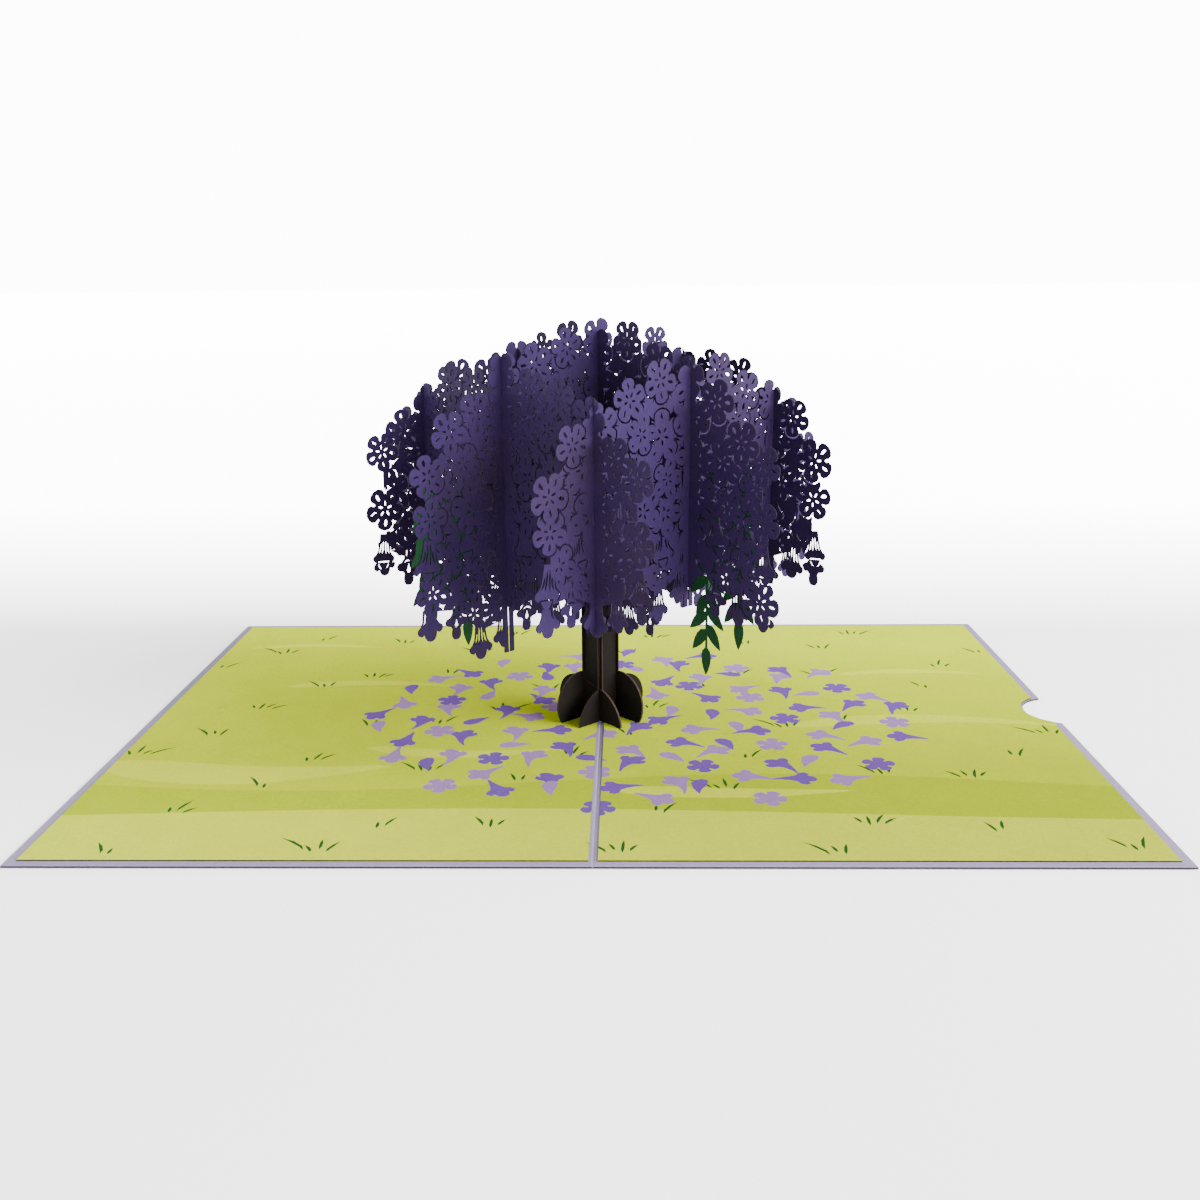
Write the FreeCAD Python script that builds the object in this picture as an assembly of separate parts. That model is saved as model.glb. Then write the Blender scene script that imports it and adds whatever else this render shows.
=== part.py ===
import FreeCAD, Part
import math
import os

# A folded greeting card, opened flat, with a slotted paper tree standing on its fold.
# Millimetres. The origin is the middle of the card's underside. X runs along the length of
# the opened card, Y is the fold line, pointing away from the reader, and Z is up.
# The tree is a square lattice of flat paper slices, in two families that cross at right
# angles. Family a runs from front left to back right, family b from front right to back left.
# In a family, the near slice is the one on the reader's side of the tree.

os.makedirs("parts", exist_ok=True)

# Card
CARD_LENGTH = 254.0
CARD_WIDTH = 178.0
COVER_SHEET = 0.4
PAGE_SHEET = 0.3
PAGE_BORDER = 2.4
GUTTER = 2.0
SCORE_WIDTH = 0.8
SCORE_DEPTH = 0.12
NOTCH_LENGTH = 19.6
NOTCH_DEPTH = 7.3
NOTCH_PLACE = 3.6
NOTCH_RIM = 0.5

# Paper of the tree and its joints
SLICE_SHEET = 0.3
LEAF_SHEET = 0.25
SLOT_PLAY = 0.1
TAB_PLAY = 0.2
FAMILY_TURNS = {"a": 45, "b": -45}

# Blossom crown: each slice is cut from a dome of revolution, and ends short of its rim
GRID_PITCH = 32.5
DOME_FOOT = 43.0
DOME_RISE = 65.5
END_RADIUS = 61.5
DOME_OVERRUN = 9.5
MIDDLE_HEM = 27.0
MIDDLE_HEM_RISE = 12.0
OUTER_HEM = 39.0
OUTER_HEM_RISE = 6.0
STRIP_WIDTH = 3.2
STRIP_DROP = 2.0

# Blossoms
PETALS = 5
PETAL_HALF_ANGLE = 17.0
FLOWER_RADIUS = 5.8
FLOWER_WAIST = 3.2
FLOWER_PITCH = 10.8
FLOWER_DRIFT = 0.9
FLOWER_ANGLE = 40.0
CROWN_INSET = 4.8
BELL_PITCH = 11.0
BELL_HEIGHT = 10.0
BELL_NECK = 2.2
BELL_MOUTH = 6.8
BELL_DRIFT = 1.3
HEM_INSET = 7.5
GAP_LENGTH = 4.4
GAP_WIDTH = 1.6
GAP_ROW = 18.0
GAP_COLUMN = 15.4
GAP_DRIFT = 1.4
GAP_ANGLE = 45.0
GAP_CLEAR = 0.6

# Trunk and roots
TRUNK_GRID = 3.1
TRUNK_LIP = 0.9
TRUNK_OVERLAP = 15.0
TRUNK_JOINT = 21.5
ROOT_REACH = 11.3
ROOT_SHOULDER = 9.2
ROOT_TIP = 1.0
ROOT_FOOT = 12.0
ROOT_BULGE = 13.3
ROOT_BULGE_RISE = 4.6
NEAR_SHOULDER = 11.2
FAR_SHOULDER = 13.3
TAB_INSET = 2.1
TAB_LENGTH = 2.6

# Leaves
LEAF_STEM = 0.8
LEAF_LENGTH = 6.4
LEAF_WIDTH = 2.3
LEAF_PITCH = 9.5
LEAF_ANGLE = 38.0
LEAF_CLEAR = 0.5
BRANCH_RISE = 42.0

# Worked out from the above
PAGE_TOP = COVER_SHEET + PAGE_SHEET
SLOT_WIDTH = SLICE_SHEET + 2 * SLOT_PLAY
DOME_REACH = END_RADIUS + DOME_OVERRUN
TRUNK_HALF = TRUNK_GRID + TRUNK_LIP
TRUNK_TOP = MIDDLE_HEM + TRUNK_OVERLAP
CROWN_JOINT = MIDDLE_HEM + TRUNK_OVERLAP / 2


def wander(number, seed):
    """A repeatable small wander between -1 and 1."""
    return math.sin(91.7 * number + 47.3 * seed)


def face_of(points):
    """Flat face in the XZ plane from (along, up) points, always facing the same way."""
    pairs = zip(points, points[1:] + points[:1])
    if sum(first[0] * second[1] - second[0] * first[1] for first, second in pairs) < 0:
        points = points[::-1]
    corners = [FreeCAD.Vector(along, 0, up) for along, up in points]
    return Part.Face(Part.makePolygon(corners + corners[:1]))


def box_face(first, second, low, high):
    return face_of([(first, low), (second, low), (second, high), (first, high)])


def joined(faces):
    """One face from overlapping flat faces."""
    return faces[0].multiFuse(faces[1:]).removeSplitter()


def largest_face(shape):
    return max(shape.Faces, key=lambda face: face.Area)


def paper(face, sheet, offset, turn):
    """Give a flat face its paper thickness and stand it in the lattice."""
    solid = face.extrude(FreeCAD.Vector(0, sheet, 0))
    solid.translate(FreeCAD.Vector(0, offset - sheet / 2, 0))
    solid.rotate(FreeCAD.Vector(0, 0, 0), FreeCAD.Vector(0, 0, 1), turn)
    return solid


def export(name, shape):
    solid = shape.Solids[0] if len(shape.Solids) == 1 else shape
    solid.exportStep("parts/" + name + ".step")


# Heights of the dome and of the hem

def dome_height(radius):
    return DOME_FOOT + DOME_RISE * math.sqrt(max(1 - (radius / DOME_REACH) ** 2, 0))


def slice_reach(offset):
    return math.sqrt(END_RADIUS ** 2 - offset ** 2)


def hem_height(offset, along):
    """Lowest edge of a slice, flat in the middle and rising towards its ends."""
    base, rise = (MIDDLE_HEM, MIDDLE_HEM_RISE) if offset == 0 else (OUTER_HEM, OUTER_HEM_RISE)
    share = max((abs(along) - GRID_PITCH) / (slice_reach(offset) - GRID_PITCH), 0)
    return base + rise * share ** 1.5


# Motifs, each a closed list of (along, up) points

def flower(along, up, turn):
    half = math.radians(PETAL_HALF_ANGLE)
    points = []
    for petal in range(PETALS):
        middle = math.radians(turn) + 2 * math.pi * petal / PETALS
        for angle, radius in [(middle - math.pi / PETALS, FLOWER_WAIST),
                              (middle - half, FLOWER_RADIUS), (middle + half, FLOWER_RADIUS)]:
            points.append((along + radius * math.sin(angle), up + radius * math.cos(angle)))
    return points


def bell(along, up):
    """A hanging bell blossom with a flared, notched mouth at its lower end."""
    half = [(BELL_NECK / 2, BELL_HEIGHT), (0.27 * BELL_MOUTH, 0.3 * BELL_HEIGHT),
            (0.5 * BELL_MOUTH, 0.22 * BELL_HEIGHT), (0.36 * BELL_MOUTH, 0.0)]
    right = [(along + side, up + height) for side, height in half]
    left = [(along - side, up + height) for side, height in reversed(half)]
    return right + [(along, up + 0.12 * BELL_HEIGHT)] + left


def gap(along, up, turn):
    """A pointed gap between blossoms."""
    tilt = math.radians(turn)
    points = []
    for side, height in [(0, 0.5), (0.5, -0.1), (0, -0.5), (-0.5, -0.1)]:
        across = side * GAP_WIDTH
        rise = height * GAP_LENGTH
        points.append((along + across * math.cos(tilt) + rise * math.sin(tilt),
                       up + rise * math.cos(tilt) - across * math.sin(tilt)))
    return points


# Where the motifs of one slice stand

def crown_places(offset):
    """Centres of the blossoms along the top of a slice, from left to right."""
    half = math.sqrt(DOME_REACH ** 2 - offset ** 2) - CROWN_INSET
    rise = DOME_RISE * math.sqrt(1 - (offset / DOME_REACH) ** 2) - CROWN_INSET
    start = math.acos((slice_reach(offset) - FLOWER_RADIUS) / half)
    sweep = math.pi - 2 * start
    count = round(sweep * (half + rise) / 2 / FLOWER_PITCH)
    places = []
    for number in range(count + 1):
        angle = math.pi - start - sweep * number / count
        places.append((half * math.cos(angle), DOME_FOOT + rise * math.sin(angle)))
    return places


def side_places(offset, side):
    """Centres of the blossoms down one end of a slice, from the top."""
    along = side * (slice_reach(offset) - FLOWER_RADIUS)
    top = crown_places(offset)[0][1]
    low = hem_height(offset, along) + BELL_HEIGHT
    count = max(round((top - low) / FLOWER_PITCH), 1)
    return [(along, top - (top - low) * (number + 1) / count) for number in range(count)]


def bell_places(offset):
    """Mouths of the bells along the hem of a slice, from left to right."""
    end = slice_reach(offset) - BELL_MOUTH / 2 - BELL_DRIFT
    count = round(2 * end / BELL_PITCH)
    places = []
    for number in range(count + 1):
        along = -end + 2 * end * number / count
        places.append((along, hem_height(offset, along)))
    return places


def crossings(offset):
    """Where the slices of the other family cross this one, with the dome radius there."""
    return [(along, math.hypot(offset, along)) for along in (-GRID_PITCH, 0, GRID_PITCH)]


def strip(offset, along, radius):
    """The plain upright band beside a crossing, with clipped top corners."""
    half = STRIP_WIDTH / 2
    top = dome_height(radius) - STRIP_DROP
    low = hem_height(offset, along)
    return face_of([(along - half, low), (along + half, low), (along + half, top - half),
                    (along + half / 2, top), (along - half / 2, top), (along - half, top - half)])


def blossom_face(offset, seed):
    """The flat outline of one blossom slice, before its slots."""
    crown = crown_places(offset)
    left_side = side_places(offset, -1)
    right_side = side_places(offset, 1)
    bells = bell_places(offset)
    hem_line = [(along, up + HEM_INSET) for along, up in reversed(bells)]
    faces = [face_of(crown + right_side + hem_line + left_side[::-1])]
    for number, (along, up) in enumerate(crown + left_side + right_side):
        lift = FLOWER_DRIFT * wander(number, seed)
        turn = FLOWER_ANGLE * wander(number, seed + 1)
        faces.append(face_of(flower(along, up + lift, turn)))
    for number, (along, up) in enumerate(bells):
        low = up + BELL_DRIFT * wander(number, seed + 2)
        hanging_flower = number % 3 == 1
        outline = flower(along, low + FLOWER_RADIUS, 180) if hanging_flower else bell(along, low)
        faces.append(face_of(outline))
    for along, radius in crossings(offset):
        faces.append(strip(offset, along, radius))
    return largest_face(joined(faces))


def gap_faces(offset, seed):
    """Gaps between the inner blossoms, clear of the edges and of the plain strips."""
    faces = []
    reach = slice_reach(offset) - 2 * FLOWER_RADIUS - GAP_LENGTH
    columns = int(reach / GAP_COLUMN)
    keep_off = STRIP_WIDTH / 2 + GAP_LENGTH / 2 + GAP_CLEAR
    for column in range(-columns, columns + 1):
        along = column * GAP_COLUMN + GAP_DRIFT * wander(column, seed + 3)
        nearest = min((place for place, _ in crossings(offset)), key=lambda x: abs(along - x))
        if abs(along - nearest) < keep_off:
            along = nearest + math.copysign(keep_off, along - nearest)
        top = dome_height(math.hypot(along, offset)) - 2 * FLOWER_RADIUS
        low = hem_height(offset, along) + BELL_HEIGHT + GAP_LENGTH / 2
        for row in range(int((top - low) / GAP_ROW) + 1):
            up = low + GAP_ROW * row + GAP_DRIFT * wander(row + 7 * column, seed + 4)
            turn = GAP_ANGLE * wander(row - 5 * column, seed + 5)
            faces.append(face_of(gap(along, up, turn)))
    return faces


# Halved joints: family a is slotted from below and family b from above

def slot(along, low, high):
    return box_face(along - SLOT_WIDTH / 2, along + SLOT_WIDTH / 2, low, high)


def crown_joint_height(offset, along):
    """Half way up the overlap of two crossing blossom slices."""
    top = dome_height(math.hypot(offset, along)) - STRIP_DROP
    low = max(hem_height(offset, along), hem_height(along, offset))
    return (top + low) / 2


def blossom_slice(offset, family, seed):
    cuts = gap_faces(offset, seed)
    for along, _ in crossings(offset):
        middle = crown_joint_height(offset, along)
        low, high = (0, middle) if family == "a" else (middle, DOME_FOOT + 2 * DOME_RISE)
        cuts.append(slot(along, low, high))
    if offset == 0:
        for along in (-TRUNK_GRID, TRUNK_GRID):
            cuts.append(slot(along, 0, CROWN_JOINT))
    return largest_face(blossom_face(offset, seed).cut(cuts))


# Trunk slices, each with its root arch, lower at one end, and two tabs

def above_page(along, up):
    return FreeCAD.Vector(along, 0, PAGE_TOP + up)


def trunk_slice(family, high_shoulder):
    """Trunk band with a tapered root at its left end and a round, bulging one at its right."""
    tip = above_page(-ROOT_REACH, ROOT_TIP)
    taper = above_page(-0.78 * ROOT_REACH, 0.64 * ROOT_SHOULDER)
    low_top = above_page(-TRUNK_HALF, ROOT_SHOULDER)
    high_top = above_page(TRUNK_HALF, high_shoulder)
    bulge = above_page(ROOT_BULGE, ROOT_BULGE_RISE)
    foot = above_page(ROOT_FOOT, 0)
    edges = [Part.Arc(tip, taper, low_top).toShape()]
    edges += Part.makePolygon([low_top, FreeCAD.Vector(-TRUNK_HALF, 0, TRUNK_TOP),
                               FreeCAD.Vector(TRUNK_HALF, 0, TRUNK_TOP), high_top]).Edges
    edges.append(Part.Arc(high_top, bulge, foot).toShape())
    edges += Part.makePolygon([foot, above_page(-ROOT_REACH, 0), tip]).Edges
    faces = [Part.Face(Part.Wire(edges))]
    tab_end = ROOT_REACH - TAB_INSET
    for side in (-1, 1):
        start = side * (tab_end - TAB_LENGTH)
        end = side * tab_end
        faces.append(box_face(start, end, COVER_SHEET, PAGE_TOP + ROOT_TIP))
    cuts = [slot(0, CROWN_JOINT, 2 * TRUNK_TOP)]
    for along in (-TRUNK_GRID, TRUNK_GRID):
        low, high = (0, TRUNK_JOINT) if family == "a" else (TRUNK_JOINT, 2 * TRUNK_TOP)
        cuts.append(slot(along, low, high))
    return largest_face(joined(faces).cut(cuts))


# Leaf sprays, glued flat to the far side of the middle blossom slices

def leaf(along, up, turn):
    """A pointed leaf hanging from (along, up), turned from straight down."""
    tilt = math.radians(turn)
    points = []
    for side, drop in [(0.15, 0), (0.5, 0.45), (0, 1), (-0.5, 0.45), (-0.15, 0)]:
        across = side * LEAF_WIDTH
        down = drop * LEAF_LENGTH
        points.append((along + across * math.cos(tilt) + down * math.sin(tilt),
                       up + across * math.sin(tilt) - down * math.cos(tilt)))
    return face_of(points)


def spray(along, top, low):
    """A hanging stem with leaves on both sides and one at its end."""
    end = low + LEAF_LENGTH
    half = LEAF_STEM / 2
    faces = [box_face(along - half, along + half, end - half, top), leaf(along, end, 0)]
    for number in range(1, int((top - end) / LEAF_PITCH)):
        up = end + LEAF_PITCH * number
        faces.append(leaf(along - half / 2, up, -LEAF_ANGLE))
        faces.append(leaf(along + half / 2, up + 0.3 * LEAF_PITCH, LEAF_ANGLE))
    return faces


def leaf_panel(first, inward, drops):
    """Sprays side by side, joined by a branch. They start from one end of the panel, whose
    place along the slice is given, and each ends at its own drop below the hem."""
    tilt = math.radians(LEAF_ANGLE)
    spread = LEAF_LENGTH * math.sin(tilt) + LEAF_WIDTH / 2 * math.cos(tilt) + LEAF_STEM
    pitch = 2 * spread - LEAF_STEM
    height = MIDDLE_HEM + BRANCH_RISE
    places = [first + inward * (spread + pitch * number) for number in range(len(drops))]
    faces = [box_face(min(places), max(places), height - LEAF_STEM, height + LEAF_STEM)]
    for along, drop in zip(places, drops):
        faces.extend(spray(along, height, MIDDLE_HEM - drop))
    return largest_face(joined(faces))


# Cover and pages

def finger_notch(rim):
    """Round finger notch in the right edge, as a cutting cylinder."""
    radius = ((NOTCH_LENGTH / 2) ** 2 + NOTCH_DEPTH ** 2) / (2 * NOTCH_DEPTH)
    centre = FreeCAD.Vector(CARD_LENGTH / 2 - NOTCH_DEPTH + radius, NOTCH_PLACE, -PAGE_TOP)
    return Part.makeCylinder(radius + rim, 3 * PAGE_TOP, centre)


def cover_card():
    near = -CARD_WIDTH / 2
    sheet = Part.makeBox(CARD_LENGTH, CARD_WIDTH, COVER_SHEET,
                         FreeCAD.Vector(-CARD_LENGTH / 2, near, 0))
    corners = [FreeCAD.Vector(-SCORE_WIDTH / 2, near, COVER_SHEET),
               FreeCAD.Vector(0, near, COVER_SHEET - SCORE_DEPTH),
               FreeCAD.Vector(SCORE_WIDTH / 2, near, COVER_SHEET)]
    score = Part.Face(Part.makePolygon(corners + corners[:1]))
    return sheet.cut([score.extrude(FreeCAD.Vector(0, CARD_WIDTH, 0)), finger_notch(0)])


def tab_slits():
    """Slits in the pages for the trunk tabs, cut a little larger than the tabs."""
    slits = []
    length = TAB_LENGTH + 2 * TAB_PLAY
    middle = ROOT_REACH - TAB_INSET - TAB_LENGTH / 2
    for turn in FAMILY_TURNS.values():
        for offset in (-TRUNK_GRID, TRUNK_GRID):
            for side in (-1, 1):
                corner = FreeCAD.Vector(side * middle - length / 2, offset - SLOT_WIDTH / 2, 0)
                slit = Part.makeBox(length, SLOT_WIDTH, 2 * PAGE_TOP, corner)
                slit.rotate(FreeCAD.Vector(0, 0, 0), FreeCAD.Vector(0, 0, 1), turn)
                slits.append(slit)
    return slits


def page(side):
    length = CARD_LENGTH / 2 - PAGE_BORDER - GUTTER / 2
    left = GUTTER / 2 if side > 0 else -GUTTER / 2 - length
    width = CARD_WIDTH - 2 * PAGE_BORDER
    sheet = Part.makeBox(length, width, PAGE_SHEET, FreeCAD.Vector(left, -width / 2, COVER_SHEET))
    return sheet.cut(tab_slits() + [finger_notch(NOTCH_RIM)])


export("cover_card", cover_card())
export("left_page", page(-1))
export("right_page", page(1))

for family, turn in FAMILY_TURNS.items():
    for row, name in ((-1, "near"), (0, "middle"), (1, "far")):
        offset = row * GRID_PITCH
        seed = 11 * row + (1 if family == "a" else 4)
        solid = paper(blossom_slice(offset, family, seed), SLICE_SHEET, offset, turn)
        export("blossom_slice_" + family + "_" + name, solid)
    # The two trunk slices of a family are turned end for end. The tapered roots of the near
    # ones point to the front, and the far ones have the higher shoulder.
    side = -1 if family == "a" else 1
    near = (trunk_slice(family, NEAR_SHOULDER), 0 if family == "a" else 180)
    far = (trunk_slice(family, FAR_SHOULDER), 180 if family == "a" else 0)
    for name, (face, half_turn) in (("near", near), ("far", far)):
        solid = paper(face, SLICE_SHEET, side * TRUNK_GRID, turn + half_turn)
        export("trunk_slice_" + family + "_" + name, solid)

# Each wing of the middle slices: its family, its side, the end of the outer panel that its
# sprays start from, and how far each spray ends below the hem
outer_start = GRID_PITCH + LEAF_CLEAR
wings = {"front_left": ("a", -1, END_RADIUS, (-11, -4.6)),
         "front_right": ("b", 1, outer_start, (5, -4)),
         "back_left": ("b", -1, outer_start, (3, -2)),
         "back_right": ("a", 1, END_RADIUS, (-6, 2))}
inner_drops = (-8, -11)
leaf_offset = (SLICE_SHEET + LEAF_SHEET) / 2
for name, (family, side, outer_first, outer_drops) in wings.items():
    inward = side if outer_first == outer_start else -side
    for part, first, step, drops in (("inner", TRUNK_HALF + LEAF_CLEAR, side, inner_drops),
                                     ("outer", outer_first, inward, outer_drops)):
        face = leaf_panel(side * first, step, drops)
        solid = paper(face, LEAF_SHEET, leaf_offset, FAMILY_TURNS[family])
        export("leaf_spray_" + name + "_" + part, solid)
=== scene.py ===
import math

import bmesh
import bpy
from bpy.props import FloatProperty, FloatVectorProperty, IntProperty, PointerProperty
from mathutils import Matrix, Vector
from mathutils.geometry import delaunay_2d_cdt


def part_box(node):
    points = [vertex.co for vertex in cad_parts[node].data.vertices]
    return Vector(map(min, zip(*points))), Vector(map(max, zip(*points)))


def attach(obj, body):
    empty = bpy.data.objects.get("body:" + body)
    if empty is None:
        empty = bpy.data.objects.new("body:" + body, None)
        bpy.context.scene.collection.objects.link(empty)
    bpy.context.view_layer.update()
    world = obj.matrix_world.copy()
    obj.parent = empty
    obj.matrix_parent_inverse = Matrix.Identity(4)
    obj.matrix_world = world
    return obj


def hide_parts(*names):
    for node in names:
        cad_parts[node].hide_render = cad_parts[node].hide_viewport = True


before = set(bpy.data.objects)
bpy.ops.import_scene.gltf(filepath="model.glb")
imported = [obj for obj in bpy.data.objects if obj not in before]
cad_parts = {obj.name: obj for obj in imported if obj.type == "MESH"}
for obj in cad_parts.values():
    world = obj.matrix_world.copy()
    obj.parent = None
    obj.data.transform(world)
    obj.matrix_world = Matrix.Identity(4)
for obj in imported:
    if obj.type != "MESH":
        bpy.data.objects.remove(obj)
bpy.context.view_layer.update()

bl_info = {
    "name": "Pop Up Card",
    "version": (1, 0, 0),
    "blender": (4, 5, 0),
    "location": "View3D > Sidebar > Card",
    "description": "Dresses the solids of a pop up card with a slotted paper tree",
    "category": "Add Mesh",
}

# Metres throughout. A tree slice is laid out flat, as (along, up) points, and then stood in the lattice.
MM = 0.001

# Points closer than WELD are one point. A freed bit of paper with less area than CHAD drops out.
WELD = 1e-7
CHAD = 1.5e-6

# The lattice and the form of the crown, as in the solids
GRID_PITCH = 32.5 * MM
DOME_FOOT = 43.0 * MM
DOME_RISE = 65.5 * MM
END_RADIUS = 61.5 * MM
DOME_REACH = 71.0 * MM
MIDDLE_HEM = 27.0 * MM
MIDDLE_HEM_RISE = 12.0 * MM
OUTER_HEM = 39.0 * MM
OUTER_HEM_RISE = 6.0 * MM
STRIP_WIDTH = 3.2 * MM
STRIP_DROP = 2.0 * MM
SLOT_WIDTH = 0.5 * MM
FAMILY_TURNS = {"a": 45.0, "b": -45.0}
ROWS = ((-1, "near"), (0, "middle"), (1, "far"))

# Where the hem of a middle slice lifts: the middle, the half width and the rise of each lift
LIFTS = {"a": ((-17 * MM, 13 * MM, 7 * MM), (17 * MM, 13 * MM, 5 * MM)),
         "b": ((32 * MM, 12 * MM, 17 * MM), (46 * MM, 8 * MM, 5 * MM), (-17 * MM, 13 * MM, 6 * MM))}

# Blossoms on the rim of a slice. They stray further than in the solids.
FLOWER_RADIUS = 5.8 * MM
FLOWER_PITCH = 10.8 * MM
FLOWER_DRIFT = 1.9 * MM
FLOWER_TURN = math.radians(40)
CROWN_INSET = 4.8 * MM
BELL_HEIGHT = 10.0 * MM
HEM_INSET = 7.5 * MM

# Trunk, roots and leaves, as in the solids. CHEEK_PLAY is the room behind the sheet of a root arch.
TRUNK_GRID = 3.1 * MM
TRUNK_HALF = 4.0 * MM
TRUNK_TOP = 42.0 * MM
CROWN_JOINT = 34.5 * MM
TRUNK_JOINT = 21.5 * MM
ROOT_REACH = 11.3 * MM
ROOT_SHOULDER = 9.2 * MM
ROOT_TIP = 1.0 * MM
ROOT_FOOT = 12.0 * MM
ROOT_BULGE = 13.3 * MM
ROOT_BULGE_RISE = 4.6 * MM
NEAR_SHOULDER = 11.2 * MM
FAR_SHOULDER = 13.3 * MM
TAB_INSET = 2.1 * MM
TAB_LENGTH = 2.6 * MM
CHEEK_PLAY = 0.05 * MM
BRANCH_RISE = 42.0 * MM
LEAF_STEM = 0.8 * MM
LEAF_CLEAR = 0.5 * MM
LEAF_REACH = 6.4 * MM
LEAF_BREADTH = 2.3 * MM
LEAF_TURN = math.radians(38)
PAGE_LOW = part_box("left_page")[0].z
PAGE_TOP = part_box("left_page")[1].z

# Camera that the photograph was taken with
CAMERA_PLACE = (0.0074, -0.3217, 0.1238)
CAMERA_PITCH = math.radians(15.54)
CAMERA_YAW = math.radians(-1.31)
CAMERA_ROLL = math.radians(-0.56)
CAMERA_LENS = 36.46


def measure(name, description, millimetres):
    return FloatProperty(name=name, description=description, default=millimetres * MM, unit="LENGTH")


def tint(name, description, colour):
    return FloatVectorProperty(name=name, description=description, default=colour, subtype="COLOR")


class PaperSizes(bpy.types.PropertyGroup):
    slice_sheet: measure("Slice paper", "Thickness of the blossom and trunk paper", 0.3)
    leaf_sheet: measure("Leaf paper", "Thickness of the leaf paper", 0.25)
    cut_width: measure("Cut width", "Width of the fine cuts round the petals", 0.42)
    column_pitch: measure("Blossom columns", "Distance between the columns of inner blossoms", 8.8)
    row_pitch: measure("Blossom rows", "Distance between the rows of inner blossoms", 9.0)
    bell_pitch: measure("Hem blossoms", "Distance between the bell blossoms along a hem", 7.6)
    leaf_length: measure("Leaf length", "Length of one leaf", 7.4)
    leaf_width: measure("Leaf width", "Greatest width of one leaf", 3.0)
    fallen_blossoms: IntProperty(
        name="Fallen blossoms", description="Number of blossoms printed round the trunk",
        default=112, min=0)


class PaperColours(bpy.types.PropertyGroup):
    blossom: tint("Blossom paper", "Colour of the crown's paper", (0.0165, 0.0075, 0.040))
    scorch: tint("Smoke stain", "Brownish stain that the cutting leaves on the crown's paper",
                 (0.0150, 0.0078, 0.0210))
    burnt: tint("Burnt cut", "Colour of the cut edges of the crown", (0.008, 0.005, 0.010))
    trunk: tint("Trunk paper", "Colour of the trunk and the roots", (0.0052, 0.0032, 0.0024))
    trunk_cut: tint("Trunk cut", "Colour of the cut edges of the trunk", (0.034, 0.022, 0.016))
    leaf: tint("Leaf paper", "Colour of the leaves", (0.0025, 0.027, 0.0085))
    cover: tint("Cover card", "Colour of the cover", (0.205, 0.168, 0.26))
    cover_cut: tint("Cover cut", "Colour of the burnt edges of the cover", (0.020, 0.012, 0.022))
    page_cut: tint("Page cut", "Colour of the cut edges of the pages", (0.016, 0.016, 0.010))
    meadow: tint("Meadow", "Ground colour of the print", (0.295, 0.348, 0.007))
    meadow_light: tint("Light swathe", "Lighter bands in the meadow", (0.355, 0.40, 0.022))
    meadow_deep: tint("Deep swathe", "Deeper bands in the meadow", (0.245, 0.30, 0.004))
    grass: tint("Grass", "Colour of the grass strokes", (0.012, 0.060, 0.012))
    petal_deep: tint("Deep fallen blossom", "Deeper of the two fallen blossom colours", (0.095, 0.045, 0.205))
    petal_pale: tint("Pale fallen blossom", "Paler of the two fallen blossom colours", (0.195, 0.115, 0.25))


# Materials

class Value:
    """A node's output that takes part in Python sums."""

    def __init__(self, finish, socket):
        self.finish = finish
        self.socket = socket

    def sum(self, operation, first, second):
        return self.finish.node("ShaderNodeMath", {"operation": operation}, {0: first, 1: second})

    def __add__(self, other):
        return self.sum("ADD", self, other)

    def __radd__(self, other):
        return self.sum("ADD", other, self)

    def __sub__(self, other):
        return self.sum("SUBTRACT", self, other)

    def __rsub__(self, other):
        return self.sum("SUBTRACT", other, self)

    def __mul__(self, other):
        return self.sum("MULTIPLY", self, other)

    def __rmul__(self, other):
        return self.sum("MULTIPLY", other, self)


class Nodes:
    """A node tree that is made from Python expressions."""

    def __init__(self, tree):
        self.tree = tree

    def node(self, kind, settings=None, values=None, output=0):
        made = self.tree.nodes.new(kind)
        for name, setting in (settings or {}).items():
            setattr(made, name, setting)
        for key, value in (values or {}).items():
            self.feed(made.inputs[key], value)
        return Value(self, made.outputs[output])

    def feed(self, socket, value):
        if isinstance(value, Value):
            self.tree.links.new(value.socket, socket)
        elif hasattr(value, "__len__") and len(value) == 3 and socket.type == "RGBA":
            socket.default_value = (*value, 1)
        else:
            socket.default_value = value

    def mix(self, share, first, second, blend="MIX"):
        settings = {"data_type": "RGBA", "blend_type": blend}
        return self.node("ShaderNodeMix", settings, {0: share, 6: first, 7: second}, output=2)

    def spread(self, value, low, high, start, end):
        values = {"Value": value, 1: low, 2: high, 3: start, 4: end}
        return self.node("ShaderNodeMapRange", {}, values)

    def axis(self, vector, number):
        return self.node("ShaderNodeSeparateXYZ", {}, {0: vector}, output=number)


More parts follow.
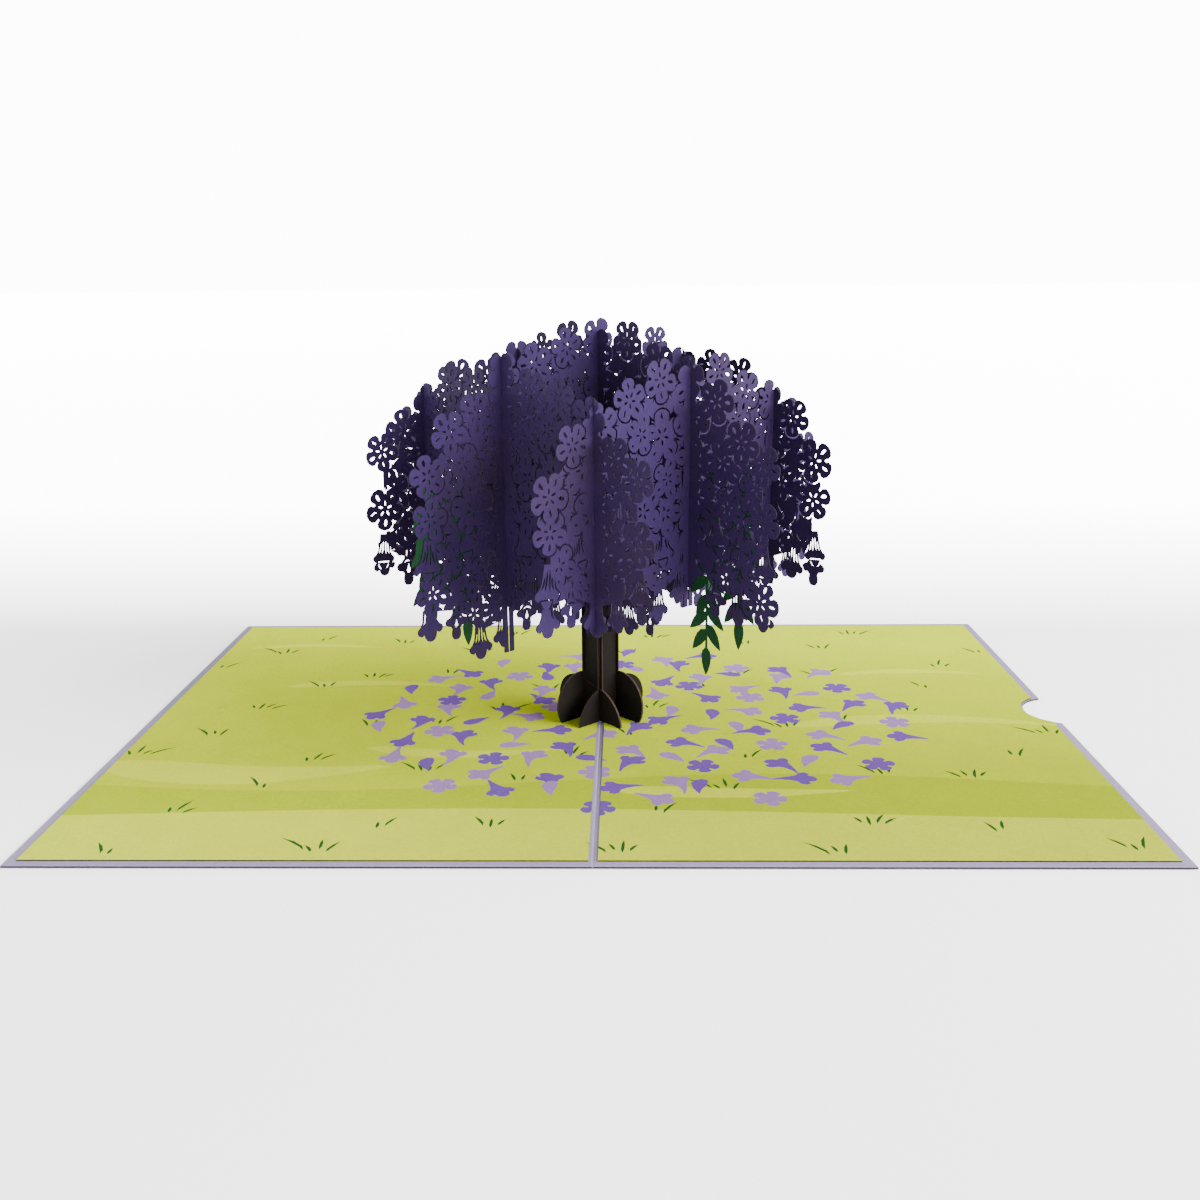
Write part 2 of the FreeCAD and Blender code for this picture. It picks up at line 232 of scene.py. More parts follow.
class Finish(Nodes):
    """A material, with what the papers of the card share."""

    def __init__(self, name):
        self.material = bpy.data.materials.new(name)
        self.material.use_nodes = True
        super().__init__(self.material.node_tree)
        self.shader = self.tree.nodes["Principled BSDF"]
        self.where = self.node("ShaderNodeTexCoord", output=3)

    def noise(self, scale, detail=3.0, roughness=0.5, stretch=(1, 1, 1)):
        place = self.node("ShaderNodeMapping", {}, {"Vector": self.where, "Scale": stretch})
        values = {"Vector": place, "Scale": scale, "Detail": detail, "Roughness": roughness}
        return self.node("ShaderNodeTexNoise", {}, values)

    def upright(self):
        """1 where a face looks up or down, and 0 on the sides of a sheet."""
        normal = self.node("ShaderNodeNewGeometry", output=1)
        steep = self.node("ShaderNodeMath", {"operation": "ABSOLUTE"}, {0: self.axis(normal, 2)})
        return self.node("ShaderNodeMath", {"operation": "GREATER_THAN"}, {0: steep, 1: 0.7})

    def set(self, name, value):
        self.feed(self.shader.inputs[name], value)

    def bump(self, height, strength, distance):
        values = {"Height": height, "Strength": strength, "Distance": distance}
        self.set("Normal", self.node("ShaderNodeBump", {}, values))

    def paper(self, colour, roughness=0.72, mottle=0.14, fibre=0.05, sheen=0.1):
        """Matt paper: cloudy colour, fine fibres and a slightly uneven sheen."""
        cloud = self.noise(90.0, 4.0)
        fibres = self.noise(1500.0, 3.0, 0.6, (1, 1, 0.35))
        shade = self.spread(cloud, 0.3, 0.7, 1 - mottle, 1 + mottle)
        shade = shade * self.spread(fibres, 0.35, 0.65, 0.86, 1.0)
        self.set("Base Color", self.mix(1.0, colour, shade, "MULTIPLY"))
        self.set("Roughness", roughness - 0.1 * (cloud + fibres - 1.0))
        self.set("Specular IOR Level", sheen)
        self.bump(fibres, 0.35, fibre * MM)
        return self


def paper_finish(name, colour, roughness=0.72, mottle=0.14):
    return Finish(name).paper(colour, roughness, mottle)


# Flat outlines and die cutting

def wander(number, seed):
    """A repeatable small wander between -1 and 1."""
    return math.sin(91.7 * number + 47.3 * seed)


def moved(points, along, up, turn=0.0, size=MM):
    """Points of a motif, turned, sized and set at a place."""
    cosine, sine = math.cos(turn), math.sin(turn)
    return [(along + size * (x * cosine - y * sine), up + size * (x * sine + y * cosine)) for x, y in points]


def one_way(points):
    pairs = zip(points, points[1:] + points[:1])
    turning = sum(first[0] * second[1] - second[0] * first[1] for first, second in pairs)
    return points if turning > 0 else points[::-1]


def mirrored(half):
    """A closed outline from its right half, listed from the top down."""
    left = [(-x, y) for x, y in reversed(half) if x > 0]
    return half + left


def box_outline(left, right, low, high):
    return [(left, low), (right, low), (right, high), (left, high)]


def area_of(points):
    pairs = zip(points, points[1:] + points[:1])
    return abs(sum(first[0] * second[1] - second[0] * first[1] for first, second in pairs)) / 2


def partition(outlines, left_out=frozenset()):
    """Triangles of the plane cut by every outline, each with the outlines that it lies in.

    A tangled outline can flood the whole plane, and is then left out.
    """
    points, loops, numbers = [], [], []
    for number, outline in enumerate(outlines):
        if number not in left_out:
            start = len(points)
            points.extend(Vector(point) for point in one_way(outline))
            loops.append(list(range(start, len(points))))
            numbers.append(number)
    corners, _, triangles, _, _, found = delaunay_2d_cdt(points, [], loops, 1, WELD)
    owners = [[numbers[loop] for loop in loops_here] for loops_here in found]
    covered = {}
    for triangle, here in zip(triangles, owners):
        area = area_of([corners[corner] for corner in triangle])
        for number in here:
            covered[number] = covered.get(number, 0) + area
    flooded = {number for number, area in covered.items() if area > 2 * area_of(outlines[number]) + CHAD}
    if flooded:
        return partition(outlines, left_out | flooded)
    return corners, [list(triangle) for triangle in triangles], owners


def neighbours_of(triangles):
    """For each triangle, those that share an edge with it."""
    by_edge = {}
    for number, triangle in enumerate(triangles):
        for first, second in zip(triangle, triangle[1:] + triangle[:1]):
            by_edge.setdefault(frozenset((first, second)), []).append(number)
    beside = [[] for _ in triangles]
    for sharing in by_edge.values():
        for number in sharing:
            beside[number].extend(other for other in sharing if other != number)
    return beside


def paper_groups(is_paper, beside):
    """Numbers the groups of paper triangles that hang together by their edges."""
    group = {}
    for start, paper in enumerate(is_paper):
        if not paper or start in group:
            continue
        waiting = [start]
        group[start] = start
        while waiting:
            for other in beside[waiting.pop()]:
                if is_paper[other] and other not in group:
                    group[other] = start
                    waiting.append(other)
    return group


def sheet_mesh(name, corners, triangles, thickness, place, colours=None):
    """A solid sheet from flat triangles. Its cut sides take the second material."""
    shape = bmesh.new()
    verts = {}
    for triangle in triangles:
        for corner in triangle:
            if corner not in verts:
                verts[corner] = shape.verts.new((*corners[corner], -thickness / 2))
    paint = shape.loops.layers.float_color.new("print") if colours else None
    for number, triangle in enumerate(triangles):
        face = shape.faces.new([verts[corner] for corner in triangle])
        if colours:
            for loop in face.loops:
                loop[paint] = (*colours[number], 1)
    shape.normal_update()
    made = bmesh.ops.extrude_face_region(shape, geom=shape.faces[:], use_keep_orig=True)
    top = [item for item in made["geom"] if isinstance(item, bmesh.types.BMVert)]
    bmesh.ops.translate(shape, verts=top, vec=(0, 0, thickness))
    bmesh.ops.recalc_face_normals(shape, faces=shape.faces[:])
    for face in shape.faces:
        face.material_index = 0 if abs(face.normal.z) > 0.5 else 1
    bmesh.ops.transform(shape, matrix=place, verts=shape.verts[:])
    mesh = bpy.data.meshes.new(name)
    shape.to_mesh(mesh)
    shape.free()
    return mesh


def die_cut(name, sheets, slots, slits, thickness, place):
    """One sheet of paper: the outlines in sheets, less the slots and the slits.

    A slit that would free a piece larger than a chad is left uncut, and smaller pieces drop out.
    """
    corners, triangles, owners = partition(sheets + slits + slots)
    last_sheet, last_slit = len(sheets), len(sheets) + len(slits)
    top = [max(found) if found and min(found) < last_sheet else last_slit for found in owners]
    is_paper = [number < last_sheet for number in top]
    beside = neighbours_of(triangles)
    group = paper_groups(is_paper, beside)
    size = {}
    for number, start in group.items():
        size[start] = size.get(start, 0) + area_of([corners[corner] for corner in triangles[number]])
    touching = {}
    for number, slit in enumerate(top):
        if last_sheet <= slit < last_slit:
            touching.setdefault(slit, set()).update(group[other] for other in beside[number] if is_paper[other])
    main = max(size, key=size.get)
    joined, uncut = {main}, set()
    for start in sorted(size, key=size.get, reverse=True):
        if start in joined or size[start] < CHAD:
            continue
        bridges = [slit for slit, groups in touching.items() if start in groups and groups & joined]
        if bridges:
            bridge = max(bridges)
            uncut.add(bridge)
            joined |= touching[bridge]
    kept = [triangle for number, triangle in enumerate(triangles)
            if (is_paper[number] and group[number] in joined) or top[number] in uncut]
    return sheet_mesh(name, corners, kept, thickness, place)


def lattice_place(offset, turn):
    """Stands a flat sheet upright in the lattice, at its distance from the middle."""
    stand = Matrix(((1, 0, 0, 0), (0, 0, -1, offset), (0, 1, 0, 0), (0, 0, 0, 1)))
    return Matrix.Rotation(math.radians(turn), 4, "Z") @ stand


def add_piece(name, mesh, materials, slot, *nodes):
    piece = bpy.data.objects.new(name, mesh)
    bpy.context.scene.collection.objects.link(piece)
    for finish in materials:
        mesh.materials.append(finish.material)
    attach(piece, "root")
    if nodes:
        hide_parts(*nodes)


# The form of the crown

def dome_height(radius):
    return DOME_FOOT + DOME_RISE * math.sqrt(max(1 - (radius / DOME_REACH) ** 2, 0))


def slice_reach(offset):
    return math.sqrt(END_RADIUS ** 2 - offset ** 2)


def hem_height(offset, along):
    base, rise = (MIDDLE_HEM, MIDDLE_HEM_RISE) if offset == 0 else (OUTER_HEM, OUTER_HEM_RISE)
    share = max((abs(along) - GRID_PITCH) / (slice_reach(offset) - GRID_PITCH), 0)
    return base + rise * share ** 1.5


def hem_line(offset, family, along):
    """The hem that is seen, which lifts here and there so that the leaves show."""
    lift = 0
    if offset == 0:
        for middle, half, rise in LIFTS[family]:
            lift = max(lift, rise * (1 - ((along - middle) / half) ** 4))
    return hem_height(offset, along) + lift


def crown_places(offset):
    half = math.sqrt(DOME_REACH ** 2 - offset ** 2) - CROWN_INSET
    rise = DOME_RISE * math.sqrt(1 - (offset / DOME_REACH) ** 2) - CROWN_INSET
    start = math.acos((slice_reach(offset) - FLOWER_RADIUS) / half)
    sweep = math.pi - 2 * start
    count = round(sweep * (half + rise) / 2 / FLOWER_PITCH)
    angles = [math.pi - start - sweep * number / count for number in range(count + 1)]
    return [(half * math.cos(angle), DOME_FOOT + rise * math.sin(angle)) for angle in angles]


def side_places(offset, side):
    along = side * (slice_reach(offset) - FLOWER_RADIUS)
    top = crown_places(offset)[0][1]
    low = hem_height(offset, along) + BELL_HEIGHT
    count = max(round((top - low) / FLOWER_PITCH), 1)
    return [(along, top - (top - low) * (number + 1) / count) for number in range(count)]


def crossings(offset):
    return [(along, math.hypot(offset, along)) for along in (-GRID_PITCH, 0, GRID_PITCH)]


def joint_height(offset, along):
    top = dome_height(math.hypot(offset, along)) - STRIP_DROP
    low = max(hem_height(offset, along), hem_height(along, offset))
    return (top + low) / 2


# Blossom motifs, in millimetres about their own origin: an outline, the lines that are cut as fine
# slits where nothing in front hides them, and the holes that are kept only where they are whole

PETAL_EDGE = [(3.0, -1.75), (3.8, -2.25), (4.8, -2.1), (5.5, -1.3), (5.8, 0.0),
              (5.5, 1.3), (4.8, 2.1), (3.8, 2.25), (3.0, 1.75)]
PETAL_MIDDLE = 4.3
PETAL_HALF = 2.25
WAIST = 3.1
NOTCH = [(3.7, 0.0), (4.3, -0.2), (5.1, 0.25), (6.0, 0.0)]
BELL_HALF = [(1.5, 10.2), (1.65, 7.6), (2.0, 5.4), (2.6, 4.3), (3.4, 3.7), (3.7, 2.8), (3.25, 1.95),
             (2.5, 1.7), (1.85, 2.2), (1.6, 1.2), (1.1, 0.35), (0.4, 0.0)]
THROAT_HALF = [(1.1, 10.0), (1.4, 7.4), (2.1, 6.5), (3.1, 6.2), (3.7, 5.4), (3.6, 4.4), (2.8, 3.8),
               (1.9, 3.9), (1.3, 3.2), (1.5, 1.9), (1.4, 0.9), (0.8, 0.1), (0.3, 0.0)]
DROP_HALF = [(0.12, 5.9), (0.35, 4.9), (0.68, 4.2), (0.55, 3.6), (0.2, 3.35)]
BROW = [(-1.7, 6.0), (-1.1, 6.7), (0.0, 7.05), (1.1, 6.7), (1.7, 6.0), (0.9, 6.35), (0.0, 6.6), (-0.9, 6.35)]


def stroke(line, width):
    """A slit of that width along a line of points, pointed at both ends."""
    left, right = [], []
    for before, point, after in zip(line, line[1:], line[2:]):
        run = (after[0] - before[0], after[1] - before[1])
        length = math.hypot(*run) or 1.0
        side = (-run[1] / length * width / 2, run[0] / length * width / 2)
        left.append((point[0] + side[0], point[1] + side[1]))
        right.append((point[0] - side[0], point[1] - side[1]))
    return [line[0]] + left + [line[-1]] + right[::-1]


def lens(start, end, width):
    """A slim pointed slit from one point to another."""
    steps = [start] + [(start[0] + share * (end[0] - start[0]), start[1] + share * (end[1] - start[1]))
                       for share in (0.25, 0.75)] + [end]
    return stroke(steps, width)


def turned(points, angle):
    return moved(points, 0, 0, angle, 1)


def flower(number, seed, cut):
    """An open blossom of five petals, held by the tips of two or three of them."""
    outline, lines, holes = [], [], []
    grow = 1 + cut / 2 / PETAL_HALF
    middle = len(PETAL_EDGE) // 2
    for petal in range(5):
        angle = math.pi / 2 + 2 * math.pi * petal / 5
        outline.extend(turned(PETAL_EDGE, angle))
        outline.extend(turned([(WAIST, 0)], angle + math.pi / 5))
        chance = wander(5 * number + petal, seed + 6)
        rim = [(PETAL_MIDDLE + (x - PETAL_MIDDLE) * grow, y * grow) for x, y in PETAL_EDGE]
        runs = [rim[:middle], rim[middle + 1:]] if chance > 0.2 or petal == number % 5 else [rim]
        lines += [turned(run, angle) for run in runs]
        reach = 0.8 + 0.3 * wander(petal - number, seed + 7)
        slit = [(PETAL_MIDDLE - reach, 0.3 * chance), (PETAL_MIDDLE, -0.15 * chance),
                (PETAL_MIDDLE + reach, 0.1)]
        holes.append(turned(stroke(slit, 1.5 * cut), angle))
        holes.append(turned(lens((0.7, 0), (2.1, 0), 1.2 * cut), angle + math.pi / 5))
        lines.append(turned(NOTCH, angle + math.pi / 5))
    return outline, lines, holes


def rim_flower(number, seed, cut):
    """A blossom on the edge of the slice, its petals cut open as wide loops."""
    outline, lines, holes = flower(number, seed, cut)
    holes = []
    for petal in range(5):
        angle = math.pi / 2 + 2 * math.pi * petal / 5
        chance = wander(petal - number, seed + 7)
        wide = 0.68 + 0.25 * chance
        holes.append(turned(stroke([(2.6, 0.15), (3.3, 0.25 * chance), (4.2, 0.15), (4.75, 0)], wide), angle))
        holes.append(turned(lens((0.7, 0), (2.2, 0), 1.3 * cut), angle + math.pi / 5))
    return outline, lines, holes


def bell(number, seed, cut):
    """A hanging bell blossom seen from the side, with slits down its tube."""
    wide = 1.35 * cut
    shift = 0.5 * wander(number, seed + 8)
    inner = [(0.42, 8.8 + shift), (0.4, 7.5), (0.5, 5.4), (0.85, 3.7)]
    outer = [(1.1, 7.6 - shift), (1.12, 6.7), (1.4, 5.2), (2.1, 4.1)]
    holes = [stroke([(side * x, y) for x, y in slit], wide) for slit in (inner, outer) for side in (-1, 1)]
    lines = [[(side * (x + cut / 2), y) for x, y in BELL_HALF[1:8]] for side in (-1, 1)]
    lines.append([(side * x, y - cut / 2) for side in (-1, 1) for x, y in BELL_HALF[8:][::side]])
    return mirrored(BELL_HALF), lines, holes


def throat(number, seed, cut):
    """A hanging blossom seen from the front, with a brow and a drop-shaped throat."""
    holes = [mirrored(DROP_HALF), BROW]
    holes += [lens((side * 0.6, 9.8), (side * 0.75, 7.7), cut) for side in (-1, 1)]
    lines = [[(side * (x + cut / 2), y) for x, y in THROAT_HALF[1:8]] for side in (-1, 1)]
    lines.append([(side * x, y - cut / 2) for side in (-1, 1) for x, y in THROAT_HALF[9:][::side]])
    return mirrored(THROAT_HALF), lines, holes


MOTIFS = {"rim_flower": rim_flower, "flower": flower, "bell": bell, "side_bell": bell, "throat": throat}


# How the motifs stand and stray, in millimetres and radians. A size is its middle and its stray.
SIDE_BELL_OUT = 1.6
SIDE_BELL_DROP = 5.5
SIDE_BELL_LEAN = 0.12
HEM_END_INSET = 4.7
HEM_DRIFT = 2.0
HEM_LEAN = 0.06
INNER_DRIFT = 1.2
INNER_BELL_DROP = 5
RIM_SIZE = (0.95, 0.06)
INNER_SIZE = (1, 0.13)


def rim_motifs(offset, family, seed, pitch):
    """Motifs on the rim: (kind, along, up, turn), crown first."""
    found = []
    places = crown_places(offset)
    for number, (along, up) in enumerate(places):
        lift = FLOWER_DRIFT * wander(number, seed)
        found.append(("rim_flower", along, up + lift, FLOWER_TURN * wander(number, seed + 1)))
    for side in (-1, 1):
        for number, (along, up) in enumerate(side_places(offset, side)):
            chance = wander(number, seed + 3 * side)
            if number % 2:
                found.append(("side_bell", along + side * SIDE_BELL_OUT * MM,
                              up - (SIDE_BELL_DROP + chance) * MM, SIDE_BELL_LEAN * side))
            else:
                found.append(("rim_flower", along, up + FLOWER_DRIFT * chance, FLOWER_TURN * chance))
    end = slice_reach(offset) - HEM_END_INSET * MM
    count = round(2 * end / pitch)
    for number in range(count + 1):
        along = -end + 2 * end * number / count
        low = hem_line(offset, family, along) + HEM_DRIFT * MM * wander(number, seed + 2)
        kind = "throat" if number % 3 == 1 else "bell"
        found.append((kind, along, low, HEM_LEAN * wander(number, seed + 9)))
    return found


def inner_motifs(offset, family, seed, sizes):
    """Motifs that fill the slice, from the top down."""
    found = []
    columns = int((slice_reach(offset) - FLOWER_RADIUS) / sizes.column_pitch)
    for column in range(-columns, columns + 1):
        along = column * sizes.column_pitch
        top = dome_height(math.hypot(along, offset)) - CROWN_INSET - sizes.row_pitch
        top -= sizes.row_pitch / 2 * (column % 2)
        low = hem_line(offset, family, along) + 6 * MM
        for row in range(int((top - low) / sizes.row_pitch) + 1):
            number = 13 * column + row
            chance = wander(number, seed + 10)
            x = along + INNER_DRIFT * MM * wander(number, seed + 11)
            y = top - sizes.row_pitch * row + INNER_DRIFT * MM * wander(number, seed + 12)
            share = (y - low) / (dome_height(0) - low)
            kind = "flower" if chance < 2.2 * share - 0.2 else ("throat" if chance < 0.3 else "bell")
            turn = math.pi * wander(number, seed + 13) if kind == "flower" else 0.15 * chance
            if kind != "flower":
                y -= INNER_BELL_DROP * MM
            found.append((row + 0.8 * chance, kind, x, y, turn))
    return [motif[1:] for motif in sorted(found)]


def inside(point, outline):
    """Whether a point lies in an outline, by the edges that a line to its right crosses."""
    x, y = point
    found = False
    for (x1, y1), (x2, y2) in zip(outline, outline[1:] + outline[:1]):
        if (y1 > y) != (y2 > y) and x < x1 + (y - y1) * (x2 - x1) / (y2 - y1):
            found = not found
    return found


class Front:
    """What lies in front of the motif that is being laid out."""

    def __init__(self, offset):
        self.outlines = []
        self.bands = [along for along, _ in crossings(offset)]

    def add(self, outline, along, up):
        reach = max(math.hypot(x - along, y - up) for x, y in outline)
        self.outlines.append((along, up, reach, outline))

    def hides(self, point):
        x, y = point
        if any(abs(x - band) < STRIP_WIDTH / 2 + 0.2 * MM for band in self.bands):
            return True
        return any(math.hypot(x - along, y - up) < reach and inside(point, outline)
                   for along, up, reach, outline in self.outlines)

    def open_runs(self, line):
        """The stretches of a line that nothing hides."""
        runs = [[]]
        for point in line:
            if self.hides(point):
                runs.append([])
            else:
                runs[-1].append(point)
        return [run for run in runs if len(run) > 2]


def strip_outline(offset, family, along, radius):
    half = STRIP_WIDTH / 2
    top = dome_height(radius) - STRIP_DROP - half
    cap = [(along + half * math.cos(angle), top + half * math.sin(angle))
           for angle in (math.pi * step / 8 for step in range(9))]
    low = hem_line(offset, family, along)
    return [(along - half, low), (along + half, low)] + cap


def blossom_sheet(name, offset, family, seed, sizes):
    """One blossom slice: rim motifs on a body, with the fine cuts of every motif in front."""
    rim = rim_motifs(offset, family, seed, sizes.bell_pitch)
    hem = [(along, up + HEM_INSET) for kind, along, up, _ in reversed(rim) if kind in ("bell", "throat")]
    body = crown_places(offset) + side_places(offset, 1) + hem + side_places(offset, -1)[::-1]
    sheets, slots, slits, front = [body], [], [], Front(offset)
    for number, (kind, along, up, turn) in enumerate(rim + inner_motifs(offset, family, seed, sizes)):
        outline, lines, holes = MOTIFS[kind](number, seed, sizes.cut_width / MM)
        common, stray = RIM_SIZE if number < len(rim) else INNER_SIZE
        size = MM * (common + stray * wander(number, seed + 14))
        outline = moved(outline, along, up, turn, size)
        if number < len(rim):
            sheets.append(outline)
        for line in lines:
            for run in front.open_runs(moved(line, along, up, turn, size)):
                slits.append(stroke(run, sizes.cut_width))
        for hole in holes:
            hole = moved(hole, along, up, turn, size)
            if not any(front.hides(point) for point in hole):
                slits.append(hole)
        front.add(outline, along, up)
    sheets += [strip_outline(offset, family, along, radius) for along, radius in crossings(offset)]
    half = SLOT_WIDTH / 2
    for along, _ in crossings(offset):
        middle = joint_height(offset, along)
        low, high = (0, middle) if family == "a" else (middle, 2 * dome_height(0))
        slots.append(box_outline(along - half, along + half, low, high))
    if offset == 0:
        for along in (-TRUNK_GRID, TRUNK_GRID):
            slots.append(box_outline(along - half, along + half, 0, CROWN_JOINT))
    place = lattice_place(offset, FAMILY_TURNS[family])
    return die_cut(name, sheets, slots, slits, sizes.slice_sheet, place)


class CARD_OT_blossom_slices(bpy.types.Operator):
    """Cut the six blossom slices of the crown"""
    bl_idname = "card.blossom_slices"
    bl_label = "Blossom slices"

    def execute(self, context):
        sizes = context.scene.card_sizes
        colours = context.scene.card_colours
        face = Finish("blossom_paper")
        smoke = face.spread(face.noise(26.0, 3.0), 0.45, 0.68, 0.0, 0.55)
        face.paper(face.mix(smoke, colours.blossom, colours.scorch))
        edge = paper_finish("blossom_cut", colours.burnt, 0.85)
        for family in FAMILY_TURNS:
            for row, place in ROWS:
                name = "blossom_slice_%s_%s" % (family, place)
                seed = 11 * row + (1 if family == "a" else 4)
                mesh = blossom_sheet("cut_" + name, row * GRID_PITCH, family, seed, sizes)
                add_piece("cut_" + name, mesh, (face, edge), "blossom_paper", name)
        return {"FINISHED"}


# Trunk and roots

def arc_through(start, middle, end, steps):
    """Points along the arc through three points."""
    (x1, y1), (x2, y2), (x3, y3) = start, middle, end
    double = 2 * (x1 * (y2 - y3) + x2 * (y3 - y1) + x3 * (y1 - y2))
    squares = (x1 * x1 + y1 * y1, x2 * x2 + y2 * y2, x3 * x3 + y3 * y3)
    cx = (squares[0] * (y2 - y3) + squares[1] * (y3 - y1) + squares[2] * (y1 - y2)) / double
    cy = (squares[0] * (x3 - x2) + squares[1] * (x1 - x3) + squares[2] * (x2 - x1)) / double
    radius = math.hypot(x1 - cx, y1 - cy)
    first = math.atan2(y1 - cy, x1 - cx)
    through = (math.atan2(y2 - cy, x2 - cx) - first) % (2 * math.pi)
    sweep = (math.atan2(y3 - cy, x3 - cx) - first) % (2 * math.pi)
    if through > sweep:
        sweep -= 2 * math.pi
    return [(cx + radius * math.cos(first + sweep * step / steps),
             cy + radius * math.sin(first + sweep * step / steps)) for step in range(steps + 1)]


def above_page(along, up):
    return (along, PAGE_TOP + up)


def root_arcs(high_shoulder):
    """The tapered root up to the trunk at the left, and the bulging one down from it."""
    low = arc_through(above_page(-ROOT_REACH, ROOT_TIP), above_page(-0.78 * ROOT_REACH, 0.64 * ROOT_SHOULDER),
                      above_page(-TRUNK_HALF, ROOT_SHOULDER), 16)
    high = arc_through(above_page(TRUNK_HALF, high_shoulder), above_page(ROOT_BULGE, ROOT_BULGE_RISE),
                       above_page(ROOT_FOOT, 0), 24)
    return low, high


def trunk_sheet(name, family, high_shoulder, place, sizes):
    low, high = root_arcs(high_shoulder)
    sheets = [low + [(-TRUNK_HALF, TRUNK_TOP), (TRUNK_HALF, TRUNK_TOP)] + high + [above_page(-ROOT_REACH, 0)]]
    tab_end = ROOT_REACH - TAB_INSET
    for ends in ((-tab_end, TAB_LENGTH - tab_end), (tab_end - TAB_LENGTH, tab_end)):
        sheets.append(box_outline(*ends, PAGE_LOW, PAGE_TOP + ROOT_TIP))
    half = SLOT_WIDTH / 2
    cuts = [box_outline(-half, half, CROWN_JOINT, 2 * TRUNK_TOP)]
    cheek = sizes.slice_sheet + CHEEK_PLAY
    for side in (-1, 1):
        slot_ends = (0, TRUNK_JOINT) if family == "a" else (TRUNK_JOINT, 2 * TRUNK_TOP)
        cuts.append(box_outline(side * TRUNK_GRID - half, side * TRUNK_GRID + half, *slot_ends))
        if family == "a":
            ends = sorted((side * TRUNK_GRID, side * (TRUNK_GRID + half + cheek)))
            cuts.append(box_outline(*ends, 0, PAGE_TOP + FAR_SHOULDER))
    return die_cut(name, sheets, cuts, [], sizes.slice_sheet, place)


def cheek_sheet(name, family, high_shoulder, place, sizes):
    """The root arch as a sheet of its own, in front of the trunk band."""
    low, high = root_arcs(high_shoulder)
    cuts = []
    if family == "a":
        half = SLOT_WIDTH / 2
        for side in (-1, 1):
            ends = sorted((side * (TRUNK_GRID - half), side * (TRUNK_GRID + half + sizes.slice_sheet)))
            cuts.append(box_outline(*ends, 0, 2 * FAR_SHOULDER))
    dip = 0.1 * ROOT_SHOULDER * (high_shoulder > ROOT_SHOULDER)
    middle = [above_page(0.4 * TRUNK_HALF, high_shoulder - dip)]
    outline = low + middle + high + [above_page(-ROOT_REACH, 0)]
    return die_cut(name, [outline], cuts, [], sizes.slice_sheet - CHEEK_PLAY, place)


class CARD_OT_trunk(bpy.types.Operator):
    """Cut the trunk slices and the root arches"""
    bl_idname = "card.trunk"
    bl_label = "Trunk and roots"

    def execute(self, context):
        sizes = context.scene.card_sizes
        colours = context.scene.card_colours
        face = paper_finish("trunk_paper", colours.trunk, mottle=0.35)
        edge = paper_finish("trunk_cut", colours.trunk_cut, 0.85)
        for family, turn in FAMILY_TURNS.items():
            side = -1 if family == "a" else 1
            halves = {"near": 0 if family == "a" else 180, "far": 180 if family == "a" else 0}
            for place, half_turn in halves.items():
                name = "trunk_slice_%s_%s" % (family, place)
                shoulder = NEAR_SHOULDER if place == "near" else FAR_SHOULDER
                stand = lattice_place(side * TRUNK_GRID, turn + half_turn)
                mesh = trunk_sheet("cut_" + name, family, shoulder, stand, sizes)
                add_piece("cut_" + name, mesh, (face, edge), "trunk_paper", name)
                stand = lattice_place(side * (TRUNK_GRID + sizes.slice_sheet), turn + half_turn)
                name = "root_arch_%s_%s" % (family, place)
                mesh = cheek_sheet(name, family, shoulder, stand, sizes)
                add_piece(name, mesh, (face, edge), "trunk_paper")
        return {"FINISHED"}


# Leaves

LEAF_HALF = [(0.05, 0.0), (0.42, 0.16), (0.5, 0.36), (0.44, 0.58), (0.24, 0.82), (0.0, 1.0)]


def leaf(along, up, turn, length, width):
    """A pointed leaf hanging from a point."""
    half = [(side * width, -drop * length) for side, drop in LEAF_HALF]
    return moved(mirrored(half), along, up, turn, 1)


def spray(along, top, low, sizes):
    """A hanging stem with pairs of leaves, one at its end and one that stands at its top."""
    end = low + sizes.leaf_length
    half = LEAF_STEM / 2
    pitch = 0.62 * sizes.leaf_length
    outlines = [box_outline(along - 0.7 * half, along + 0.7 * half, end - half, top),
                leaf(along, end, 0, sizes.leaf_length, sizes.leaf_width)]
    lean = math.pi + 0.5 * wander(top, along * 1000)
    outlines.append(leaf(along, top, lean, sizes.leaf_length, sizes.leaf_width))
    for number in range(1, int((top - end) / pitch) + 1):
        up = end + pitch * number
        bend = LEAF_TURN + 0.2 * wander(number, along * 1000)
        outlines.append(leaf(along - half / 2, up, -bend, sizes.leaf_length, sizes.leaf_width))
        outlines.append(leaf(along + half / 2, up + 0.3 * pitch, bend, sizes.leaf_length, sizes.leaf_width))
    return outlines


OUTER_START = GRID_PITCH + LEAF_CLEAR
WINGS = {"front_left": ("a", -1, END_RADIUS, (-11, -4.6)),
         "front_right": ("b", 1, OUTER_START, (5, -4)),
         "back_left": ("b", -1, OUTER_START, (3, -2)),
         "back_right": ("a", 1, END_RADIUS, (-6, 2))}
INNER_DROPS = (-8, -11)


def leaf_panel(first, inward, drops, sizes):
    """Sprays side by side, joined by a branch, from one end of the panel inward."""
    spread = LEAF_REACH * math.sin(LEAF_TURN) + LEAF_BREADTH / 2 * math.cos(LEAF_TURN) + LEAF_STEM
    pitch = 2 * spread - LEAF_STEM
    height = MIDDLE_HEM + BRANCH_RISE
    places = [first + inward * (spread + pitch * number) for number in range(len(drops))]
    outlines = [box_outline(min(places), max(places), height - 0.35 * LEAF_STEM, height + 0.35 * LEAF_STEM)]
    for along, drop in zip(places, drops):
        outlines.extend(spray(along, height, MIDDLE_HEM - drop * MM, sizes))
    return outlines


